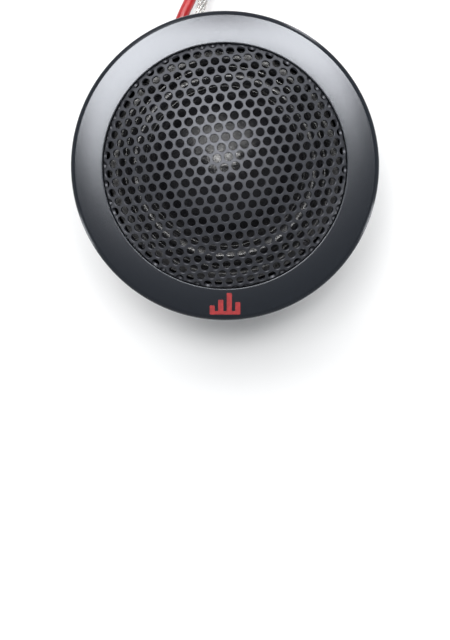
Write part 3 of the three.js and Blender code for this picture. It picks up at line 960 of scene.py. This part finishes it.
# Grille: steel sheet punched with round holes on a staggered pitch, then pressed to a dome
# with a short skirt, powder coated black and pushed into the housing's opening.
def powder_coat():
    material, shader = new_finish("powder_coat", (0.01, 0.0105, 0.014), 0.46, ior=1.75)
    shader.inputs["Specular Tint"].default_value = (0.9, 0.92, 1.0, 1)
    tinted(material, shader, cloudy(material, 0.3), (0.006, 0.0065, 0.009), (0.014, 0.015, 0.019))
    texture = ranged(material, cloudy(material, 0.5), 0.42, 0.52)
    material.node_tree.links.new(texture, shader.inputs["Roughness"])
    embossed(material, shader, (cloudy(material, 0.25, 3.0), 0.012))
    return material


hole_pitch = 2.0
hole_r = 0.75
hole_sides = 18
row_step = math.sqrt(3) / 2
row_tilt = math.radians(8)
pattern_offset = (-0.14, -0.15, 0)
grille_low, grille_high = node_box("grille")
sheet_wall = 0.5
press_r = 40
skirt_bend_r = 0.8
skirt_r = grille_high.x
skirt_end_z = grille_low.z + 0.05
press_centre_z = grille_high.z - press_r
press_tilt = math.asin((skirt_r - skirt_bend_r) / (press_r - skirt_bend_r))
bend_centre_z = press_centre_z + (press_r - skirt_bend_r) * math.cos(press_tilt)
cap_length = press_r * press_tilt
bend_length = skirt_bend_r * (math.pi / 2 - press_tilt)
blank_r = cap_length + bend_length + bend_centre_z - skirt_end_z


def pressed(place):
    """Moves a point of the flat blank onto the pressed outline, keeping its distance."""
    run = place.xy.length
    if run < 1e-6:
        return Vector((0, 0, grille_high.z))
    outward = place.xy / run
    if run < cap_length:
        angle = run / press_r
        radius = press_r * math.sin(angle)
        height = press_centre_z + press_r * math.cos(angle)
    elif run < cap_length + bend_length:
        angle = press_tilt + (run - cap_length) / skirt_bend_r
        radius = skirt_r - skirt_bend_r + skirt_bend_r * math.sin(angle)
        height = bend_centre_z + skirt_bend_r * math.cos(angle)
    else:
        radius = skirt_r
        height = bend_centre_z - (run - cap_length - bend_length)
    return Vector((outward.x * radius, outward.y * radius, height))


def punched_blank():
    """A flat disc of hexagonal cells, each with its round hole."""
    shape = bmesh.new()
    bmesh.ops.create_circle(shape, segments=hole_sides, radius=hole_r)
    web = bmesh.ops.extrude_edge_only(shape, edges=list(shape.edges))
    for corner in corners_of(web):
        angle = math.atan2(corner.co.y, corner.co.x)
        off_middle = (angle + math.pi / 6) % (math.pi / 3) - math.pi / 6
        corner.co = corner.co.normalized() * hole_pitch / 2 / math.cos(off_middle)
    cell = list(shape.verts) + list(shape.edges) + list(shape.faces)
    reach = math.ceil(blank_r / (hole_pitch * row_step)) + 1
    for row in range(-reach, reach + 1):
        for column in range(-2 * reach, 2 * reach + 1):
            step = Vector((column + row / 2, row * row_step, 0)) * hole_pitch
            if (row or column) and step.length < blank_r + hole_pitch:
                copy = bmesh.ops.duplicate(shape, geom=cell)
                bmesh.ops.translate(shape, vec=step, verts=corners_of(copy))
    bmesh.ops.remove_doubles(shape, verts=shape.verts, dist=0.01)
    shape.transform(Matrix.Translation(pattern_offset) @ Matrix.Rotation(row_tilt, 4, "Z"))
    cuts = 72
    for i in range(cuts):
        angle = math.tau * i / cuts
        outward = Vector((math.cos(angle), math.sin(angle), 0))
        everything = list(shape.verts) + list(shape.edges) + list(shape.faces)
        bmesh.ops.bisect_plane(shape, geom=everything, dist=1e-4, plane_co=outward * blank_r,
                               plane_no=outward, clear_outer=True)
    return shape


sheet = punched_blank()
for corner in sheet.verts:
    corner.co = pressed(corner.co)
bmesh.ops.recalc_face_normals(sheet, faces=sheet.faces)
bmesh.ops.solidify(sheet, geom=list(sheet.faces), thickness=sheet_wall)
hole_edges = [edge for edge in sheet.edges
              if edge.is_manifold and edge.calc_face_angle() > math.radians(60)]
rounded(sheet, hole_edges, 0.07, 1, "EDGES")
grille = finished("grille_sheet", sheet, powder_coat(), crease=30)
goes_in(grille, "housing", "grille_steel", "grille")


# Face mark: four level bars on a base line, in red enamel. It is let into a shallow recess in
# the face ring and follows the ring's fall.
def red_enamel():
    material, shader = new_finish("red_enamel", (0.28, 0.014, 0.016), 0.3)
    tinted(material, shader, cloudy(material, 0.6), (0.22, 0.01, 0.012), (0.34, 0.02, 0.022))
    embossed(material, shader, (cloudy(material, 0.3), 0.012))
    return material


bar_width = 0.9
bar_pitch = 1.5
base_height = 0.6
bar_heights = (1.6, 2.6, 3.8, 2.2)
mark_corner_r = 0.15
mark_wall = 0.14
mark_depth = 0.06
mark_low, mark_high = node_box("badge_inlay")
left = mark_low.x
mark_points = [(left, 0), (-left, 0)]
for i in reversed(range(len(bar_heights))):
    bar_left = left + i * bar_pitch
    mark_points += [(bar_left + bar_width, bar_heights[i]), (bar_left, bar_heights[i])]
    if i:
        mark_points += [(bar_left, base_height), (bar_left - bar_pitch + bar_width, base_height)]
mark_shape = bmesh.new()
mark_shape.faces.new([mark_shape.verts.new((x, y, 0)) for x, y in mark_points])
rounded(mark_shape, list(mark_shape.verts), mark_corner_r, 3, "VERTICES")
raised = bmesh.ops.extrude_face_region(mark_shape, geom=list(mark_shape.faces))
bmesh.ops.translate(mark_shape, vec=(0, 0, mark_wall), verts=corners_of(raised))
bmesh.ops.recalc_face_normals(mark_shape, faces=mark_shape.faces)
outer_height = face_height(-mark_low.y)
inner_height = face_height(-mark_high.y)
face_slope = math.atan2(inner_height - outer_height, mark_high.y - mark_low.y)
in_place = Matrix.Translation((0, mark_low.y, outer_height - mark_depth))
mark_shape.transform(in_place @ Matrix.Rotation(face_slope, 4, "X"))
mark = finished("face_mark_enamel", mark_shape, red_enamel(), crease=30)
goes_in(mark, "housing", "badge_red", "badge_inlay")
